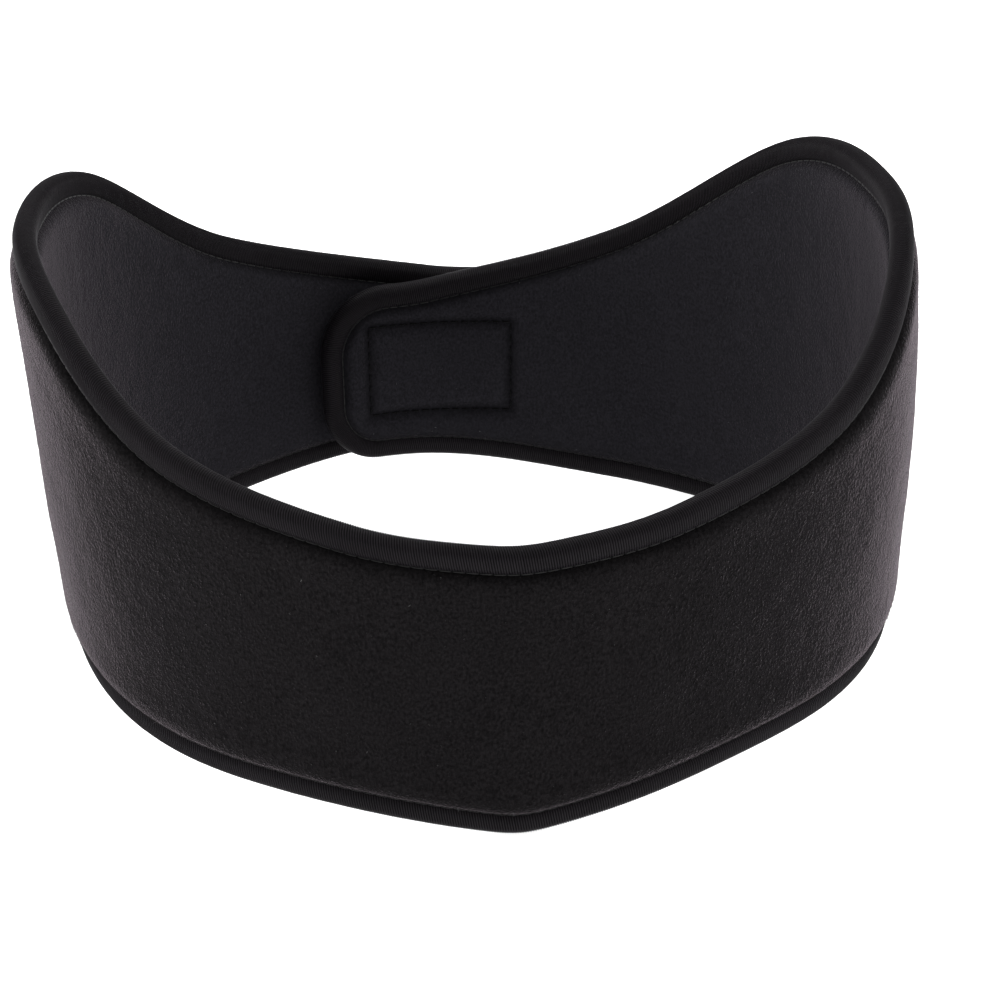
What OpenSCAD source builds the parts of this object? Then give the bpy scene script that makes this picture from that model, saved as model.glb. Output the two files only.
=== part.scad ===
// Wrap-around padded head band: eye mask and ear warmer in one, closed at the back by a hook patch.
// The band is a foam laminate swept round the head. Every point is given by an angle round the head
// (0 at the centre front, negative on the left, positive on the right), a height, and a distance w
// outwards from the middle of the foam.

/* [Band] */
// Mean radius of the closed band, at the middle of the foam
band_radius = 83.5; // [76:0.5:92]
// How much flatter than a circle the band is across the eyes
front_flat = 3.5; // [0:0.5:5]
// Extra radius where the band fills out behind the ears
back_swell = 2.5; // [0:0.5:5]
// Outward lean of the wall, in millimetres per millimetre of height
wall_lean = 0.04; // [0:0.005:0.06]
// Height of the top edge at the centre front
front_top = 61; // [52:1:68]
// Height of the top edge above the ears
lobe_top = 97; // [88:1:104]
// Height of the top edge at the centre back
back_top = 46.5; // [42:0.5:52]
// Height of the bottom edge at the centre back
back_bottom = 4; // [2:0.5:6]
// How far the soft ridge at the centre front stands out
crease_out = 1.6; // [0:0.1:3]

/* [Laminate] */
// Thickness of the foam core
foam_t = 4; // [3:0.25:5]
// Thickness of the foam where the binding pinches it
foam_edge_t = 0.7; // [0.5:0.1:1.2]
// Thickness of the outer fleece, and of the lining
fleece_t = 1.2; // [0.8:0.1:1.6]
// Distance over which the foam swells back to its full thickness beside the binding
puff_length = 3; // [1.5:0.5:5]

/* [Edge binding] */
// Height of the binding over the edge
tape_h = 4.6; // [4:0.1:6]
// Thickness of the binding tape
tape_t = 0.8; // [0.5:0.1:1]
// How far a row of stitching stands proud
thread_proud = 0.35; // [0.2:0.05:0.5]

/* [Closure] */
// How far each tab runs past the centre back
tab_overlap = 27; // [20:1:30]
// Corner radius at the top of a tab's end
tab_corner_top = 17; // [8:1:18]
// Corner radius at the bottom of a tab's end
tab_corner_bottom = 14; // [6:1:15]
// Length of the hook patch along the band
hook_length = 39; // [30:1:42]
// Width of the hook tape
hook_height = 25; // [20:1:25]
// Thickness of the hook patch, hooks included
hook_t = 1.4; // [1:0.1:2]
// Inset of the patch's stitching from its edge
hook_seam_inset = 1.8; // [1:0.1:3]

/* [Bend lines] */
// Angle round the head of the bend between the front and a wing
wing_line = 75; // [70:1:80]
// Angle round the head of the bend between a wing and its tab
tab_line = 142; // [138:1:146]
// Gap between neighbouring stretches at a bend line
bend_gap = 0.4; // [0.3:0.05:0.6]

/* [Hidden] */

fleece_colour = [0.15, 0.14, 0.15];
lining_colour = [0.20, 0.19, 0.20];
foam_colour = [0.32, 0.32, 0.34];
binding_colour = [0.10, 0.10, 0.12];
thread_colour = [0.22, 0.22, 0.25];
hook_colour = [0.05, 0.05, 0.05];

OUTER = 1;
CORE = 0;
LINING = -1;

// Heights of the two edges at chosen angles from the centre front.
top_edge = [
    [0, front_top], [20, front_top + 3], [45, front_top + 12.5], [70, lobe_top - 2],
    [95, lobe_top], [120, lobe_top - 7], [150, back_top + 14], [180, back_top], [200, back_top],
];
bottom_edge = [
    [0, 0], [20, 3.5], [45, 7], [70, 12], [95, 11.5], [120, 1.5], [150, 0.4],
    [180, back_bottom], [200, back_bottom],
];
// Radius of the foam's middle at chosen angles from the centre front.
plan = [
    [0, band_radius - front_flat], [30, band_radius - front_flat + 0.5], [60, band_radius + 2],
    [95, band_radius - 0.5], [135, band_radius + back_swell - 0.5], [180, band_radius + back_swell],
    [200, band_radius + back_swell],
];
// Half width, in degrees, of the rounding at the bottom of the V that each edge makes at the front.
top_round = 9;
bottom_round = 5;
// Half width, in degrees, of the ridge's rounded tip, and of the whole ridge.
crease_tip = 3;
crease_spread = 5;

half_t = foam_t / 2 + fleece_t;
// Play between glued layers, and between the laminate and the binding round it.
layer_gap = 0.02;
tape_gap = 0.15;
tape_w = foam_edge_t + 2 * (fleece_t + tape_gap + tape_t);
lam_inset = tape_t + tape_gap;
closure_gap = 0.3;
// One tab lies inside the loop and one outside: each moves by half the sum, between these angles.
tab_step = (2 * half_t + hook_t + closure_gap) / 2;
step_from = 115;
step_over = 50;
lean_z = 45;
mm_per_deg = (band_radius + back_swell) * PI / 180;
end_angle = 180 + tab_overlap / mm_per_deg;
gap_angle = bend_gap / 2 / (band_radius * PI / 180);
step_angle = 5;
no_end = 1000;

front_span = [-wing_line + gap_angle, wing_line - gap_angle];
left_wing_span = [-tab_line + gap_angle, -wing_line - gap_angle];
right_wing_span = [wing_line + gap_angle, tab_line - gap_angle];
tab_span = [tab_line + gap_angle, end_angle];

function flat(lists) = [for (a = lists) for (b = a) b];
function reversed(v) = [for (i = [len(v) - 1:-1:0]) v[i]];
function smooth(t) = let (c = min(1, max(0, t))) c * c * (3 - 2 * c);

// Smooth curve through [angle, value] stations.
function slope(s, i) =
    let (a = max(0, i - 1), b = min(len(s) - 1, i + 1))
    (s[b][1] - s[a][1]) / (s[b][0] - s[a][0]);
function segment(s, a) = max([0, for (i = [1:len(s) - 2]) if (a >= s[i][0]) i]);
function through(s, a) =
    let (
        i = segment(s, a),
        h = s[i + 1][0] - s[i][0],
        t = (a - s[i][0]) / h,
        t2 = t * t,
        t3 = t2 * t
    )
    (2 * t3 - 3 * t2 + 1) * s[i][1] + (t3 - 2 * t2 + t) * h * slope(s, i)
    + (3 * t2 - 2 * t3) * s[i + 1][1] + (t3 - t2) * h * slope(s, i + 1);
function edge_z(edge, phi) =
    let (r = edge == top_edge ? top_round : bottom_round)
    through(edge, phi * phi / norm([phi, r]));
function edge_cos(edge, phi) =
    let (rise = (edge_z(edge, phi + 0.5) - edge_z(edge, phi - 0.5)) / mm_per_deg)
    1 / norm([1, rise]);

// Radius of the middle of the foam, before the lean.
function mid_radius(phi) =
    through(plan, abs(phi))
    - sign(phi) * tab_step * smooth((abs(phi) - step_from) / step_over)
    + crease_out * exp(-norm([phi, crease_tip]) / crease_spread);
function wall_radius(phi, z, w) = mid_radius(phi) + wall_lean * (z - lean_z) + w;
function place(phi, z, w) =
    let (r = wall_radius(phi, z, w))
    [r * sin(phi), loop_y - r * cos(phi), z];

// Distance of a point inwards from the outline, with the tab's round corners.
function corner(a, b, r) = a < r && b < r ? r - norm([r - a, r - b]) : min(a, b);
function inset(phi, z, s) =
    let (
        from_top = (edge_z(top_edge, phi) - z) * edge_cos(top_edge, phi),
        from_bottom = (z - edge_z(bottom_edge, phi)) * edge_cos(bottom_edge, phi)
    )
    min(corner(s, from_top, tab_corner_top), corner(s, from_bottom, tab_corner_bottom));
function foam_half(e) =
    foam_edge_t / 2 + (foam_t - foam_edge_t) / 2 * (1 - exp(-max(0, e - tape_h) / puff_length));
function skin_w(phi, z, s) = foam_half(inset(phi, z, s)) + fleece_t;

// The loop stands off centre, so that the whole band is centred on the origin. Its reach at an angle
// is measured over the wall between the two bindings.
reach_from = 10;
reach_step = 0.5;
reach_margin = 4;
function reach(phi) = max([
    for (z = [reach_from:reach_step:edge_z(top_edge, phi) - reach_margin])
        wall_radius(phi, z, skin_w(phi, z, no_end))
]);
loop_y = (reach(0) - reach(-180)) / 2;

// ---- Layers of the laminate ----

// Angles of the rings along a stretch, closer at the front crease and at a tab's end.
function even(span) =
    let (n = ceil((span[1] - span[0]) / step_angle))
    [for (i = [0:n]) span[0] + (span[1] - span[0]) * i / n];
ridge_angles = [-2.5, -1, 0, 1, 2.5];
front_angles = flat([
    even([front_span[0], 2 * ridge_angles[0]]), ridge_angles, even([2 * ridge_angles[4], front_span[1]]),
]);
end_steps = [12, 8.5, 5.6, 3.3, 1.6, 0.6, 0];
tab_angles = flat([
    even([tab_span[0], end_angle - (tab_corner_top + tape_t) / mm_per_deg]),
    [for (s = end_steps) end_angle - (s + lam_inset) / mm_per_deg],
]);

function end_distance(phi) = (end_angle - abs(phi)) * mm_per_deg;
function round_off(r, s) = let (d = max(0, r - s)) r - sqrt(max(0, r * r - d * d));

// Heights of a ring's points, gathered beside the binding.
edge_rows = [0, tape_h - tape_t, tape_h, tape_h + 2, tape_h + 5, tape_h + 10];
// Wall height below which the rows draw together.
full_height = 34;
function rows(phi, s) =
    let (
        lam_s = s - lam_inset,
        high = edge_z(top_edge, phi)
            - (lam_inset + round_off(tab_corner_top - lam_inset, lam_s)) / edge_cos(top_edge, phi),
        low = edge_z(bottom_edge, phi)
            + (lam_inset + round_off(tab_corner_bottom - lam_inset, lam_s)) / edge_cos(bottom_edge, phi),
        k = min(1, (high - low) / full_height)
    )
    concat([for (o = edge_rows) low + o * k], [for (o = reversed(edge_rows)) high - o * k]);
function layer_w(layer, outside, e) =
    let (h = foam_half(e))
    layer == OUTER ? h + (outside ? fleece_t : layer_gap)
    : layer == CORE ? (outside ? h : -h)
    : -h - (outside ? layer_gap : fleece_t);
function layer_ring(layer, phi, s) =
    let (zs = rows(phi, s))
    concat(
        [for (z = zs) place(phi, z, layer_w(layer, true, inset(phi, z, s)))],
        [for (z = reversed(zs)) place(phi, z, layer_w(layer, false, inset(phi, z, s)))]
    );

// Solid through a list of rings with the same number of points; a ring is one closed outline.
// From point turned_from on, the quads are cut along their other diagonal, so that the facets on
// the two sides of a shared face are the same.
function wall_faces(count, n, closed, turned_from) = [
    for (i = [0:count - (closed ? 1 : 2)]) for (j = [0:n - 1])
        let (
            a = i * n + j,
            b = i * n + (j + 1) % n,
            c = ((i + 1) % count) * n + (j + 1) % n,
            d = ((i + 1) % count) * n + j
        )
        for (face = j < turned_from ? [[a, b, c], [a, c, d]] : [[a, b, d], [b, c, d]]) face
];
module loft(rings, closed = false, turned_from = no_end) {
    count = len(rings);
    n = len(rings[0]);
    last = (count - 1) * n;
    caps = closed ? [] : [[for (j = [n - 1:-1:0]) j], [for (j = [0:n - 1]) last + j]];
    polyhedron(flat(rings), concat(wall_faces(count, n, closed, turned_from), caps), convexity = 6);
}
module layer(which, angles, tab = false) {
    rings = [for (a = angles) layer_ring(which, a, tab ? end_distance(a) : no_end)];
    loft(rings, turned_from = len(rings[0]) / 2);
}

// ---- Edge binding ----

// Section of the folded tape: distance from the middle, and depth from the edge.
tape_half = tape_w / 2;
slot_half = tape_half - tape_t;
// The rounded fold: [share of the half width, depth].
fold_round = [[1, 1.6], [0.8, 0.5], [0.4, 0]];
tape_section = concat(
    [[tape_half, tape_h]],
    [for (q = fold_round) [tape_half * q[0], q[1]]],
    [for (q = reversed(fold_round)) [-tape_half * q[0], q[1]]],
    [[-tape_half, tape_h], [-slot_half, tape_h], [-slot_half, tape_t]],
    [[slot_half, tape_t], [slot_half, tape_h]]
);
// A row of stitching: three points of its section, on the outer face and on the lining face.
thread_half = 0.25;
thread_depth = tape_h - 2 * thread_half;
thread_lift = 0.06;
thread_rows = [for (side = [1, -1]) [
    [side * (tape_half + thread_lift), thread_depth + side * thread_half],
    [side * (tape_half + thread_proud), thread_depth],
    [side * (tape_half + thread_lift), thread_depth - side * thread_half],
]];

// A path is a list of [angle, height, inward direction along the band, inward direction in height].
// Every path runs with the laminate on its right, seen from outside: along the top to larger angles
// and along the bottom back again.
function top_path(angles) =
    [for (a = angles) [a, edge_z(top_edge, a), 0, -1 / edge_cos(top_edge, a)]];
function bottom_path(angles) =
    [for (a = reversed(angles)) [a, edge_z(bottom_edge, a), 0, 1 / edge_cos(bottom_edge, a)]];
// The last ring of a straight run stands this far before the round corner that follows it.
corner_lead = 1;
// Round corner of a tab: t runs from 0 on the long edge to 90 on the end.
function corner_path(side, edge, r, down, turns) = [
    for (t = turns)
        let (
            a = end_angle - r * (1 - sin(t)) / mm_per_deg,
            z = edge_z(edge, a) + down * r * (1 - cos(t))
        )
        [side * a, z, -side * sin(t), down * cos(t)]
];
function tab_path(side) =
    let (
        turns = [for (t = [0:10:90]) t],
        top_end = end_angle - (tab_corner_top + corner_lead) / mm_per_deg,
        bottom_end = end_angle - (tab_corner_bottom + corner_lead) / mm_per_deg,
        top_run = even([tab_span[0], top_end]),
        bottom_run = even([tab_span[0], bottom_end]),
        path = concat(
            top_path([for (a = top_run) side * a]),
            corner_path(side, top_edge, tab_corner_top, -1, turns),
            corner_path(side, bottom_edge, tab_corner_bottom, 1, reversed(turns)),
            bottom_path([for (a = bottom_run) side * a])
        )
    )
    side > 0 ? path : reversed(path);
function path_ring(p, section) = [
    for (q = section)
        place(p[0] + p[2] * q[1] / mm_per_deg, p[1] + p[3] * q[1], q[0])
];
module along(path, section) {
    loft([for (p = path) path_ring(p, section)]);
}
module stitching(paths) {
    for (path = paths) {
        for (row = thread_rows) along(path, row);
    }
}

// ---- Hook patch ----

// The patch lies a little short of the centre back, and a little above the middle of the tab.
hook_back = 2;
hook_raise = 1;
hook_centre = 180 - hook_back / mm_per_deg;
hook_z = (back_top + back_bottom) / 2 + hook_raise;
hook_columns = 8;
hook_lines = 6;
hook_angles = [
    for (i = [0:hook_columns]) hook_centre + hook_length / mm_per_deg * (i / hook_columns - 0.5)
];
hook_rows = [for (i = [0:hook_lines]) hook_z + hook_height * (i / hook_lines - 0.5)];
// Play between the patch and the fleece under it.
hook_lift = 0.12;
function hook_w(phi, z) = skin_w(phi, z, end_distance(phi)) + hook_lift;
function hook_ring(phi) = concat(
    [for (z = hook_rows) place(phi, z, hook_w(phi, z) + hook_t - hook_lift)],
    [for (z = reversed(hook_rows)) place(phi, z, hook_w(phi, z))]
);

// Rectangle of stitching that shows on the lining.
seam_x = hook_length / 2 - hook_seam_inset;
seam_z = hook_height / 2 - hook_seam_inset;
seam_half = 0.3;
seam_lift = 0.12;
seam_long = 8;
seam_short = 4;
function side_points(a, b, n) = [for (i = [0:n - 1]) a + (b - a) * i / n];
seam_loop = concat(
    side_points([-seam_x, -seam_z], [seam_x, -seam_z], seam_long),
    side_points([seam_x, -seam_z], [seam_x, seam_z], seam_short),
    side_points([seam_x, seam_z], [-seam_x, seam_z], seam_long),
    side_points([-seam_x, seam_z], [-seam_x, -seam_z], seam_short)
);
function seam_point(p, grow, proud) =
    let (
        x = p[0] * (1 + grow / seam_x),
        z = hook_z + p[1] * (1 + grow / seam_z),
        phi = hook_centre + x / mm_per_deg
    )
    place(phi, z, -skin_w(phi, z, end_distance(phi)) - proud);

// ---- Front ----

module outer_fleece_front() {
    color(fleece_colour) layer(OUTER, front_angles);
}
module foam_core_front() {
    color(foam_colour) layer(CORE, front_angles);
}
module lining_front() {
    color(lining_colour) layer(LINING, front_angles);
}
module top_binding_front() {
    color(binding_colour) along(top_path(front_angles), tape_section);
}
module bottom_binding_front() {
    color(binding_colour) along(bottom_path(front_angles), tape_section);
}
module binding_stitching_front() {
    color(thread_colour) stitching([top_path(front_angles), bottom_path(front_angles)]);
}

// ---- Wings ----

module outer_fleece_left_wing() {
    color(fleece_colour) layer(OUTER, even(left_wing_span));
}
module foam_core_left_wing() {
    color(foam_colour) layer(CORE, even(left_wing_span));
}
module lining_left_wing() {
    color(lining_colour) layer(LINING, even(left_wing_span));
}
module top_binding_left_wing() {
    color(binding_colour) along(top_path(even(left_wing_span)), tape_section);
}
module bottom_binding_left_wing() {
    color(binding_colour) along(bottom_path(even(left_wing_span)), tape_section);
}
module binding_stitching_left_wing() {
    color(thread_colour) stitching([top_path(even(left_wing_span)), bottom_path(even(left_wing_span))]);
}
module outer_fleece_right_wing() {
    color(fleece_colour) layer(OUTER, even(right_wing_span));
}
module foam_core_right_wing() {
    color(foam_colour) layer(CORE, even(right_wing_span));
}
module lining_right_wing() {
    color(lining_colour) layer(LINING, even(right_wing_span));
}
module top_binding_right_wing() {
    color(binding_colour) along(top_path(even(right_wing_span)), tape_section);
}
module bottom_binding_right_wing() {
    color(binding_colour) along(bottom_path(even(right_wing_span)), tape_section);
}
module binding_stitching_right_wing() {
    color(thread_colour) stitching([top_path(even(right_wing_span)), bottom_path(even(right_wing_span))]);
}

// ---- Tabs: the left one closes over the right one ----

left_tab_angles = [for (a = reversed(tab_angles)) -a];
module outer_fleece_left_tab() {
    color(fleece_colour) layer(OUTER, left_tab_angles, true);
}
module foam_core_left_tab() {
    color(foam_colour) layer(CORE, left_tab_angles, true);
}
module lining_left_tab() {
    color(lining_colour) layer(LINING, left_tab_angles, true);
}
module end_binding_left_tab() {
    color(binding_colour) along(tab_path(-1), tape_section);
}
module binding_stitching_left_tab() {
    color(thread_colour) stitching([tab_path(-1)]);
}
module outer_fleece_right_tab() {
    color(fleece_colour) layer(OUTER, tab_angles, true);
}
module foam_core_right_tab() {
    color(foam_colour) layer(CORE, tab_angles, true);
}
module lining_right_tab() {
    color(lining_colour) layer(LINING, tab_angles, true);
}
module end_binding_right_tab() {
    color(binding_colour) along(tab_path(1), tape_section);
}
module binding_stitching_right_tab() {
    color(thread_colour) stitching([tab_path(1)]);
}
module hook_patch() {
    color(hook_colour) loft([for (a = hook_angles) hook_ring(a)]);
}
module hook_patch_stitching() {
    color(thread_colour) loft([
        for (p = seam_loop)
            [
                seam_point(p, -seam_half, seam_lift),
                seam_point(p, 0, thread_proud),
                seam_point(p, seam_half, seam_lift),
            ]
    ], closed = true);
}

outer_fleece_front();
foam_core_front();
lining_front();
top_binding_front();
bottom_binding_front();
binding_stitching_front();
outer_fleece_left_wing();
foam_core_left_wing();
lining_left_wing();
top_binding_left_wing();
bottom_binding_left_wing();
binding_stitching_left_wing();
outer_fleece_right_wing();
foam_core_right_wing();
lining_right_wing();
top_binding_right_wing();
bottom_binding_right_wing();
binding_stitching_right_wing();
outer_fleece_left_tab();
foam_core_left_tab();
lining_left_tab();
end_binding_left_tab();
binding_stitching_left_tab();
outer_fleece_right_tab();
foam_core_right_tab();
lining_right_tab();
end_binding_right_tab();
binding_stitching_right_tab();
hook_patch();
hook_patch_stitching();
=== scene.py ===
"""Looks of the wrap-around fleece head band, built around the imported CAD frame.

Points of the band are given as in the part's source: an angle phi round the head in degrees
(0 at the centre front, negative on the left), a height z and a distance w outwards from the middle
of the foam, both in millimetres. Meshes are written in metres.
"""
import math

import bpy
import numpy as np
from mathutils import Matrix, Vector


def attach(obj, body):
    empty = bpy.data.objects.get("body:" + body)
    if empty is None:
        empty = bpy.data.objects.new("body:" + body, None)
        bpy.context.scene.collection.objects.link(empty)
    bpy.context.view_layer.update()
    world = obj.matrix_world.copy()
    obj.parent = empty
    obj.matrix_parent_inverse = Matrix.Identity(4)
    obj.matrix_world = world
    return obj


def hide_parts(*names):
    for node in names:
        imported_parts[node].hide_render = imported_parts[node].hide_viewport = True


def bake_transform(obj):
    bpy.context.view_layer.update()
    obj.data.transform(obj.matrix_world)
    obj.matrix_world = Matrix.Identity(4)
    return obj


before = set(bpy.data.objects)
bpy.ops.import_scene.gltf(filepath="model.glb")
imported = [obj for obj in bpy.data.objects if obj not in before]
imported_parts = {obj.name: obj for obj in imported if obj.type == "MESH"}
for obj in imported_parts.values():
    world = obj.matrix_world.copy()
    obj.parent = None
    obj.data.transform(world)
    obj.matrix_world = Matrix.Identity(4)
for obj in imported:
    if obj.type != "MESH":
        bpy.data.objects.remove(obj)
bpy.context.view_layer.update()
MM = 0.001

# ---- Measures of the band, as in the part's source (millimetres, degrees) ----
BAND_RADIUS, FRONT_FLAT, BACK_SWELL, WALL_LEAN, LEAN_Z = 83.5, 3.5, 2.5, 0.04, 45
FRONT_TOP, LOBE_TOP, BACK_TOP, BACK_BOTTOM = 61, 97, 46.5, 4
CREASE_OUT, CREASE_TIP, CREASE_SPREAD, TOP_ROUND, BOTTOM_ROUND = 1.6, 3, 5, 9, 5
FOAM_T, FOAM_EDGE_T, FLEECE_T, PUFF_LENGTH = 4, 0.7, 1.2, 3
TAPE_H, TAPE_T, TAPE_GAP = 4.6, 0.8, 0.15
LAM_INSET = TAPE_T + TAPE_GAP
TAB_OVERLAP, CORNER_TOP, CORNER_BOTTOM = 27, 17, 14
HOOK_LENGTH, HOOK_HEIGHT, HOOK_T, SEAM_INSET = 39, 25, 1.4, 1.8
TOP_EDGE = (
    (0, FRONT_TOP), (20, FRONT_TOP + 3), (45, FRONT_TOP + 12.5), (70, LOBE_TOP - 2),
    (95, LOBE_TOP), (120, LOBE_TOP - 7), (150, BACK_TOP + 14), (180, BACK_TOP), (200, BACK_TOP),
)
BOTTOM_EDGE = (
    (0, 0), (20, 3.5), (45, 7), (70, 12), (95, 11.5), (120, 1.5), (150, 0.4),
    (180, BACK_BOTTOM), (200, BACK_BOTTOM),
)
PLAN = (
    (0, BAND_RADIUS - FRONT_FLAT), (30, BAND_RADIUS - FRONT_FLAT + 0.5), (60, BAND_RADIUS + 2),
    (95, BAND_RADIUS - 0.5), (135, BAND_RADIUS + BACK_SWELL - 0.5),
    (180, BAND_RADIUS + BACK_SWELL), (200, BAND_RADIUS + BACK_SWELL),
)
HALF_T = FOAM_T / 2 + FLEECE_T
CLOSURE_GAP = 0.3
TAB_STEP = (2 * HALF_T + HOOK_T + CLOSURE_GAP) / 2
STEP_FROM, STEP_OVER = 115, 50
MM_PER_DEG = (BAND_RADIUS + BACK_SWELL) * math.pi / 180
END_ANGLE = 180 + TAB_OVERLAP / MM_PER_DEG
CUT_ANGLE = 108
HOOK_BACK, HOOK_RAISE = 2, 1
HOOK_CENTRE = 180 - HOOK_BACK / MM_PER_DEG
HOOK_Z = (BACK_TOP + BACK_BOTTOM) / 2 + HOOK_RAISE

# The soft wall stands a little unevenly: (angle, spread of angle, height, spread of height, how far
# it stands out), and the bottom edge is lifted a little on the right: (angle, spread, lift).
SAG = (
    (-82, 26, 8, 26, -2.6), (-85, 24, 88, 22, 1.2), (82, 26, 45, 28, 1.5), (80, 26, 98, 15, -1.7),
)
EDGE_LIFT = (38, 18, 1.2)

SEED = 20
rng = np.random.default_rng(SEED)


def smooth(t):
    """Eased step from 0 to 1 while t runs from 0 to 1."""
    t = np.clip(t, 0, 1)
    return t * t * (3 - 2 * t)


def through(stations, a):
    """Smooth curve through (angle, value) stations."""
    x, y = np.array(stations, float).T
    slope = np.gradient(y)
    slope[1:-1] = (y[2:] - y[:-2]) / (x[2:] - x[:-2])
    slope[0] = (y[1] - y[0]) / (x[1] - x[0])
    slope[-1] = (y[-1] - y[-2]) / (x[-1] - x[-2])
    i = np.clip(np.searchsorted(x, a, side="right") - 1, 0, len(x) - 2)
    h = x[i + 1] - x[i]
    t = (a - x[i]) / h
    return (
        (2 * t**3 - 3 * t**2 + 1) * y[i] + (t**3 - 2 * t**2 + t) * h * slope[i]
        + (3 * t**2 - 2 * t**3) * y[i + 1] + (t**3 - t**2) * h * slope[i + 1]
    )


def edge_z(edge, phi):
    """Height of the top or the bottom edge."""
    if edge is TOP_EDGE:
        return through(edge, phi * phi / np.hypot(phi, TOP_ROUND))
    angle, spread, lift = EDGE_LIFT
    lifted = lift * np.exp(-(((phi - angle) / spread) ** 2))
    return through(edge, phi * phi / np.hypot(phi, BOTTOM_ROUND)) + lifted


def edge_cos(edge, phi):
    """Cosine of an edge's slope along the band."""
    rise = (edge_z(edge, phi + 0.5) - edge_z(edge, phi - 0.5)) / MM_PER_DEG
    return 1 / np.sqrt(1 + rise * rise)


def wall_radius(phi, z, w):
    """Distance from the band's axis at a distance w outwards from the foam's middle."""
    mid = (
        through(PLAN, abs(phi))
        - np.sign(phi) * TAB_STEP * smooth((abs(phi) - STEP_FROM) / STEP_OVER)
        + CREASE_OUT * np.exp(-np.sqrt(phi * phi + CREASE_TIP**2) / CREASE_SPREAD)
    )
    for angle, spread, height, tall, out in SAG:
        w = w + out * np.exp(-(((phi - angle) / spread) ** 2) - ((z - height) / tall) ** 2)
    return mid + WALL_LEAN * (z - LEAN_Z) + w


def foam_half(e):
    """Half thickness of the foam at a distance e inwards from the outline: thin under the tape."""
    grown = 1 - np.exp(-np.maximum(0, e - TAPE_H) / PUFF_LENGTH)
    return FOAM_EDGE_T / 2 + (FOAM_T - FOAM_EDGE_T) / 2 * grown


def end_distance(phi):
    """Distance along the band to the end of the tab."""
    return (END_ANGLE - abs(phi)) * MM_PER_DEG


def corner(a, b, r):
    """Distance inwards from two edges at distances a and b that meet in a corner of radius r."""
    round_part = r - np.hypot(np.maximum(0, r - a), np.maximum(0, r - b))
    return np.where((a < r) & (b < r), round_part, np.minimum(a, b))


def inset(phi, z):
    """Distance inwards from the outline of the band."""
    s = end_distance(phi)
    from_top = (edge_z(TOP_EDGE, phi) - z) * edge_cos(TOP_EDGE, phi)
    from_bottom = (z - edge_z(BOTTOM_EDGE, phi)) * edge_cos(BOTTOM_EDGE, phi)
    return np.minimum(corner(s, from_top, CORNER_TOP), corner(s, from_bottom, CORNER_BOTTOM))


REACH_FROM, REACH_MARGIN, REACH_STEP = 10, 4, 0.5


def reach(phi):
    """Largest distance of the outer face from the axis, as in the part's source."""
    z = np.arange(REACH_FROM, edge_z(TOP_EDGE, phi) - REACH_MARGIN, REACH_STEP)
    e = np.minimum(
        (edge_z(TOP_EDGE, phi) - z) * edge_cos(TOP_EDGE, phi),
        (z - edge_z(BOTTOM_EDGE, phi)) * edge_cos(BOTTOM_EDGE, phi),
    )
    return wall_radius(phi, z, foam_half(e) + FLEECE_T).max()


# moves the band so that the origin is midway between its front and its back
LOOP_Y = (reach(0.0) - reach(-180.0)) / 2


def place(phi, z, w):
    """Points in metres."""
    r = wall_radius(phi, z, w)
    a = np.radians(phi)
    return np.stack([r * np.sin(a), LOOP_Y - r * np.cos(a), z + 0 * r], -1) * MM


def noise(x, y, size, seed):
    """Smooth random height from -1 to 1 over a plane, with bumps about size across."""
    x, y = x / size, y / size
    cx, cy = np.floor(x).astype(np.int64), np.floor(y).astype(np.int64)
    fx, fy = smooth(x - cx), smooth(y - cy)

    def value(ix, iy):
        h = (ix * 73856093) ^ (iy * 19349663) ^ (seed * 83492791)
        h = (h ^ (h >> 13)) * 1274126177 & 0xFFFFFFFF
        h = (h ^ (h >> 15)) * 2246822519 & 0xFFFFFFFF
        return ((h ^ (h >> 16)) & 0xFFFF) / 32767.5 - 1

    low = value(cx, cy) * (1 - fx) + value(cx + 1, cy) * fx
    high = value(cx, cy + 1) * (1 - fx) + value(cx + 1, cy + 1) * fx
    return low * (1 - fy) + high * fy


# ---- Fleece surface ----
# The roll of fleece beside the binding, (height, distance of its crown from the tape): fuller
# along the bottom edge of the outer face than elsewhere.
ROLL, BOTTOM_ROLL = (0.75, 1.9), (0.95, 2.6)
BOTTOM_REACH, BOTTOM_FADE = 30, 10     # height up to which the fuller roll counts, and its fade
LUMPS = ((14, 0.14), (4.5, 0.05), (1.9, 0.025), (0.95, 0.035))   # (size, height) of unevenness
FINE_LUMP, FINE_STRETCH = 3, 1.3       # lumps below this size are drawn out upwards by this much
LUMP_START = 1.6                       # distance from the tape over which the lumps grow
NOISE_SHIFT = 900                      # keeps the noise's plane coordinates above zero
SEAM_DEPTH, SEAM_WIDTH = 1.0, 1.9      # the groove of the patch's stitching
SHADE_REACH = 1.2                          # how far the painted shade reaches beside tape and seam
HELD_PAST, HELD_FADE = 2.4, 1.6        # how far the patch holds the fleece flat past its seam
TAB_START, TAB_FADE = 150, 4           # angle where the right tab's own shapes begin


def seam_distance(phi, z):
    """Distance from the stitched rectangle that holds the hook patch; negative inside it."""
    x = abs((abs(phi) - HOOK_CENTRE) * MM_PER_DEG) - (HOOK_LENGTH / 2 - SEAM_INSET)
    y = abs(z - HOOK_Z) - (HOOK_HEIGHT / 2 - SEAM_INSET)
    return np.where((x > 0) & (y > 0), np.hypot(x, y), np.maximum(x, y))


def on_right_tab(phi):
    """1 on the right tab, which carries the hook patch, and 0 elsewhere."""
    return smooth((phi - TAB_START) / TAB_FADE)


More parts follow.
